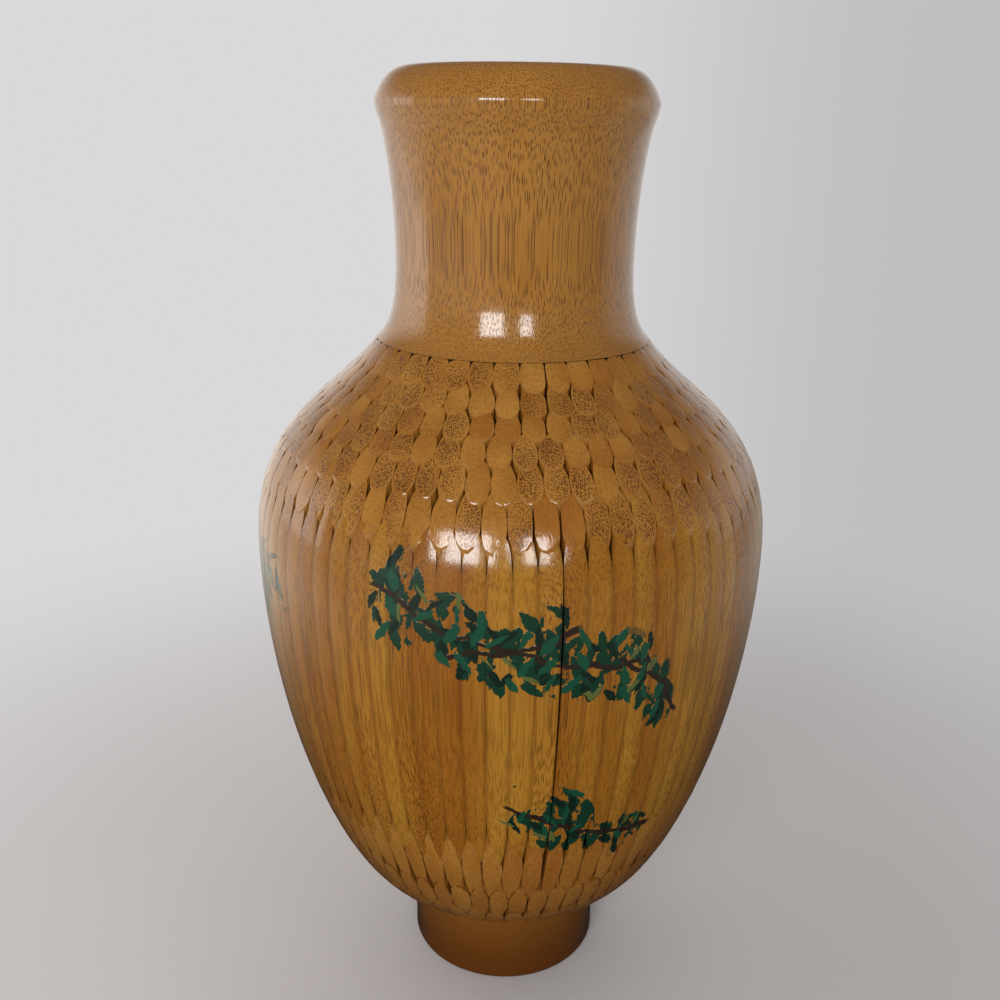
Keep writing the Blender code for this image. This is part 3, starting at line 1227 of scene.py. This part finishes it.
@dataclass
class Culm:
    """The thick bored culm that is turned to the lip, the neck and the foot."""

    outline: Outline
    height: float = 0.308
    crest: float = 0.033
    lip: Pair = (0.0431, 0.298)
    lip_root: Pair = (0.041, 0.290)
    waist: Pair = (0.0375, 0.252)
    chamfer: float = 0.0012
    bore: float = 0.029
    mouth_depth: float = 0.005
    hidden: Pair = (0.08, 0.20)
    sides: int = 128
    item: Item | None = None

    @property
    def foot_radius(self) -> float:
        """Return the radius of the foot."""
        return self.outline.foot[0]

    def section(self) -> Rows:
        """Draw the closed section of the wall.

        Returns:
            Its points (radius, height), from the crest down the outer side and up the bore.
        """
        foot, chamfer = self.foot_radius, self.chamfer
        crest = (self.crest, self.height)
        mouth = (self.bore, self.height - self.mouth_depth)
        neck = (self.outline.neck[0] - 0.00003, self.outline.neck[1] - 0.00004)
        base = [
            (foot, chamfer),
            (foot - chamfer * 0.3, chamfer * 0.3),
            (foot - chamfer, 0.0),
            (self.bore + chamfer / 2.0, 0.0),
            (self.bore, chamfer / 2.0),
        ]
        runs = [
            bezier(crest, self.lip, (0.729, 0.0), (0.0, 0.083), 12),
            bezier(self.lip, self.lip_root, (0.0, 0.3), (0.29, 0.325), 8)[1:],
            bezier(self.lip_root, self.waist, (0.293, 0.123), (0.0, 0.484), 14)[1:],
            bezier(self.waist, neck, (0.0, 0.223), (1.0, 0.206), 14)[1:],
            self.outline.culm_base(10),
            np.array(base),
            bezier(mouth, crest, (0.0, 0.55), (0.55, 0.0), 8)[:-1],
        ]
        return np.concatenate(runs)

    def build(self) -> None:
        """Model the culm as a circle that is drawn along its section."""
        section = self.section()
        start_clean()
        radius, height = section[0]
        start = (0.0, 0.0, height)
        bpy.ops.mesh.primitive_circle_add(vertices=self.sides, radius=radius, location=start)
        item = bpy.context.object
        item.name = "bamboo_culm"
        item.data.name = "bamboo_culm"
        bpy.ops.object.transform_apply(location=True, rotation=True, scale=True)
        bpy.ops.object.mode_set(mode="EDIT")
        bpy.ops.mesh.select_all(action="SELECT")
        for before, after in zip(section, np.roll(section, -1, axis=0)):
            rise = float(after[1] - before[1])
            bpy.ops.mesh.extrude_region_move(TRANSFORM_OT_translate={"value": (0.0, 0.0, rise)})
            share = float(after[0] / before[0])
            centre = (0.0, 0.0, float(after[1]))
            bpy.ops.transform.resize(value=(share, share, 1.0), center_override=centre)
        bpy.ops.mesh.select_all(action="SELECT")
        bpy.ops.mesh.remove_doubles(threshold=0.00001)
        bpy.ops.mesh.normals_make_consistent(inside=False)
        bpy.ops.object.mode_set(mode="OBJECT")
        smooth_by_angle(item, 38.0)
        self.item = item

    def dress(self, wood: Material, glue: Material) -> None:
        """Give the culm its finishes and let it stand for its solid.

        Args:
            wood: The finish of the culm.
            glue: The finish where the rods hide it.
        """
        set_materials(self.item, wood, glue)
        low, high = self.hidden
        for face in self.item.data.polygons:
            hidden = low < face.center.z < high and math.hypot(*face.center.xy) > self.foot_radius
            face.material_index = GLUE_SLOT if hidden else WOOD_SLOT
        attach(self.item, BODY)
        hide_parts("culm_core")


@dataclass
class FloorDisc:
    """The wooden floor in the bore, whose solid is kept."""

    node: str = "floor_disc"

    def dress(self, wood: Material) -> None:
        """Give the solid a better finish."""
        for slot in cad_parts[self.node].material_slots:
            slot.material = wood


# Studio


class Side(Enum):
    """Which way a lamp stands from the vase."""

    LEFT = "left"
    RIGHT = "right"


@dataclass(frozen=True)
class Lamp:
    """A soft window-like lamp that looks at the vase."""

    name: str
    side: Side
    azimuth: float
    elevation: float
    distance: float
    size: Pair
    radiance: float
    tint: Colour = (1.0, 1.0, 1.0)
    aim: float = 0.17

    def add(self) -> None:
        """Put the lamp in the scene."""
        turn = math.radians(self.azimuth) * (-1.0 if self.side is Side.LEFT else 1.0)
        rise = math.radians(self.elevation)
        flat = math.cos(rise)
        way = Vector((math.sin(turn) * flat, -math.cos(turn) * flat, math.sin(rise)))
        data = bpy.data.lights.new(self.name, "AREA")
        data.shape = "RECTANGLE"
        data.size, data.size_y = self.size
        data.energy = self.radiance * math.pi * self.size[0] * self.size[1]
        data.color = self.tint
        lamp = bpy.data.objects.new(self.name, data)
        bpy.context.scene.collection.objects.link(lamp)
        lamp.location = Vector((0.0, 0.0, self.aim)) + way * self.distance
        lamp.rotation_euler = way.to_track_quat("Z", "Y").to_euler()


@dataclass
class Studio:
    """Camera, lamps, surroundings and the floor that the vase stands on.

    The fill levels light the vase, each from its own direction, and the gloss levels are what its
    lacquer mirrors.
    """

    lens: float = 39.6
    eye: tuple[float, float, float] = (-0.00357, -0.353, 0.2926)
    pitch: float = 71.0
    roll: float = 0.78
    backdrop: Colour = (0.70, 0.69, 0.70)
    floor: Colour = (0.61, 0.59, 0.595)
    floor_radius: float = 1.6
    right_shade: float = 0.24
    fill: Colour = (1.0, 0.965, 0.93)
    fill_all: float = 0.32
    fill_side: float = 0.24
    fill_back: float = 0.70
    fill_top: float = 0.32
    gloss_all: float = 0.09
    gloss_left: float = 1.9
    gloss_behind: float = 1.1
    gloss_right: float = 0.62
    gloss_low: float = 0.35
    # Colour of the floor's painted glow, which shows only in reflections.
    mirror: Colour = (0.66, 0.60, 0.53)
    lamps: tuple[Lamp, ...] = (
        Lamp("window_left", Side.LEFT, 20.0, 18.0, 1.5, (0.52, 0.50), 11.5, (1.0, 0.99, 0.97)),
        Lamp("window_right", Side.RIGHT, 11.0, 18.0, 1.5, (0.25, 0.44), 11.5, (1.0, 0.99, 0.97)),
    )

    def add_camera(self) -> None:
        """Put the camera in the scene."""
        data = bpy.data.cameras.new("camera")
        data.lens = self.lens
        data.sensor_width = 36.0
        data.clip_start = 0.01
        camera = bpy.data.objects.new("camera", data)
        bpy.context.scene.collection.objects.link(camera)
        pitch = Matrix.Rotation(math.radians(self.pitch), 4, "X")
        roll = Matrix.Rotation(math.radians(self.roll), 4, "Z")
        camera.matrix_world = Matrix.Translation(self.eye) @ pitch @ roll
        bpy.context.scene.camera = camera

    def shade(self, x: Value, y: Value) -> Value:
        """Return the backdrop's shading by the flat direction (x, y) from the eye."""
        return 1.0 - x.step(-0.02, 0.34) * y.step(-0.9, 0.7) * self.right_shade

    def add_world(self) -> None:
        """Make the surroundings: pale for the eye, soft for light, bright at the sides in gloss."""
        world = bpy.data.worlds.new("studio")
        bpy.context.scene.world = world
        world.use_nodes = True
        sheet = Sheet(world.node_tree)
        way = sheet.value("ShaderNodeTexCoord", "Generated")
        x, y, z = way.parts()
        flat = (x * x + y * y) ** 0.5
        front = (0.0 - y) / flat.most(0.001)
        side = x / flat.most(0.001)
        behind = self.gloss_left - front.step(-0.15, -0.75) * self.gloss_behind
        left = side.step(0.1, -0.1) * front.step(0.05, -0.03) * behind
        right = side.step(-0.1, 0.1) * front.step(0.20, -0.35) * self.gloss_right
        low = side.step(0.0, -0.7) * front.step(-0.1, 0.1) * z.step(0.35, -0.05) * self.gloss_low
        gloss = low + (left + right) * z.step(0.50, 0.10) * z.step(-0.5, -0.15) + self.gloss_all
        rays = sheet.add("ShaderNodeLightPath")
        eye = Value(sheet, rays.outputs["Is Camera Ray"])
        glossy = Value(sheet, rays.outputs["Is Glossy Ray"])
        soft = self.fill_all - x * self.fill_side + y.step(0.0, 1.0) * self.fill_back
        soft = soft + z.step(0.2, 1.0) * self.fill_top
        level = glossy * gloss + (1.0 - glossy) * soft
        fill = sheet.add("ShaderNodeBackground", {}, {"Color": self.fill, "Strength": level})
        shade = {"Color": self.backdrop, "Strength": self.shade(x, y)}
        seen = sheet.add("ShaderNodeBackground", {}, shade)
        ways = {0: eye, 1: fill.outputs[0], 2: seen.outputs[0]}
        both = sheet.add("ShaderNodeMixShader", {}, ways)
        sheet.add("ShaderNodeOutputWorld", {}, {"Surface": both.outputs[0]})

    def add_floor(self) -> None:
        """Lay the pale floor, which fades to the backdrop far away."""
        start_clean()
        bpy.ops.mesh.primitive_circle_add(vertices=96, radius=self.floor_radius, fill_type="NGON")
        item = bpy.context.object
        item.name = "studio_floor"
        material, sheet = new_material("studio_floor")
        place = sheet.place()
        x, y, _ = place.parts()
        away = (x * x + y * y) ** 0.5
        # Painted shade: the floor darkens to the right of the vase, as if lit from the left, and a
        # faint noise varies its tone.
        cloth_and_right_shade = sheet.noise(place, 5.0, 2.0).step(0.3, 0.7) * 0.15 + x.step(0.0, 0.20) * 0.85
        colour = sheet.mix(cloth_and_right_shade, self.floor, tuple(0.76 * c for c in self.floor))
        near = sheet.add("ShaderNodeBsdfDiffuse", {}, {"Color": colour})
        ahead = y - self.eye[1]
        far_off = (x * x + ahead * ahead) ** 0.5
        shade = {"Color": self.backdrop, "Strength": self.shade(x / far_off, ahead / far_off)}
        far = sheet.add("ShaderNodeEmission", {}, shade)
        ends = {0: away.step(0.06, 0.50), 1: near.outputs[0], 2: far.outputs[0]}
        seen = sheet.add("ShaderNodeMixShader", {}, ends)
        # Painted reflection: for glossy rays the floor glows with its own light, bright far off to
        # the left and behind and dim near the foot, instead of showing its lit colour.
        glossy = sheet.add("ShaderNodeLightPath").outputs["Is Glossy Ray"]
        back = y.step(-0.30, 0.15)
        sides = x.step(-0.03, -0.45) * (back * 1.15 + 0.3) + x.step(0.05, 0.45) * back * 0.5
        shine = away.step(0.10, 0.45) * (sides + 0.18) + 0.04
        mirrored = sheet.add("ShaderNodeEmission", {}, {"Color": self.mirror, "Strength": shine})
        ways = {0: glossy, 1: seen.outputs[0], 2: mirrored.outputs[0]}
        both = sheet.add("ShaderNodeMixShader", {}, ways)
        sheet.add("ShaderNodeOutputMaterial", {}, {"Surface": both.outputs[0]})
        item.data.materials.append(material)

    def build(self) -> None:
        """Set up the whole studio."""
        self.add_camera()
        self.add_world()
        self.add_floor()
        for lamp in self.lamps:
            lamp.add()
        bpy.context.scene.view_settings.view_transform = "Standard"


def main() -> None:
    """Build the vase and its studio."""
    logging.basicConfig(level=logging.INFO, format="%(name)s: %(message)s")
    outline = Outline()
    bundle = RodBundle(outline)
    glue = GlueFinish().material()
    paint = LeafPaint()
    rod_wood = BambooFinish("bamboo_rods").material(outline, paint)
    strip_wood = BambooFinish(
        "bamboo_strips",
        pale=(0.395, 0.190, 0.022),
        deep=(0.25, 0.085, 0.007),
        thickness=0.27,
        fade=0.70,
        streaks=0.50,
        streak_pitch=0.00050,
        smooth_below=0.080,
        # Wider painted shade beside the strips' seams, and weaker pale rim lines that are partly
        # painted glints.
        rim_start=0.62,
        rim_shade=0.40,
        glint=0.22,
    ).material(outline, paint)
    culm_wood = BambooFinish(
        "bamboo_culm",
        pale=(0.42, 0.205, 0.042),
        deep=(0.30, 0.124, 0.019),
        pitch=0.00047,
        wander=0.45,
        jumble=0.95,
        thickness=0.22,
        fade=0.35,
        mottle=0.3,
        streaks=0.22,
        rods=False,
    ).material(outline)
    rings = [RodRing(bundle, 0, inner_power=8.0, inner_reach=1.13, keystone=0.13, shelf=0.0)]
    rings += [RodRing(bundle, index) for index in range(1, 6)]
    rings += [StripRing(bundle, 6, dotted=0.70, keystone=0.20, contrast=1.5)]
    for ring in rings:
        ring.build()
        ring.dress(strip_wood if isinstance(ring, StripRing) else rod_wood, glue)
        faces = len(ring.item.data.polygons)
        LOG.info("%s: %d rods, %d faces", ring.name, bundle.rod_count(ring.index), faces)
    culm = Culm(outline)
    culm.build()
    culm.dress(culm_wood, glue)
    LOG.info("culm: %d faces", len(culm.item.data.polygons))
    FloorDisc().dress(FloorWoodFinish().material())
    LOG.info("floor disc dressed")
    Studio().build()
    LOG.info("studio ready")


if __name__ == "__main__":
    main()
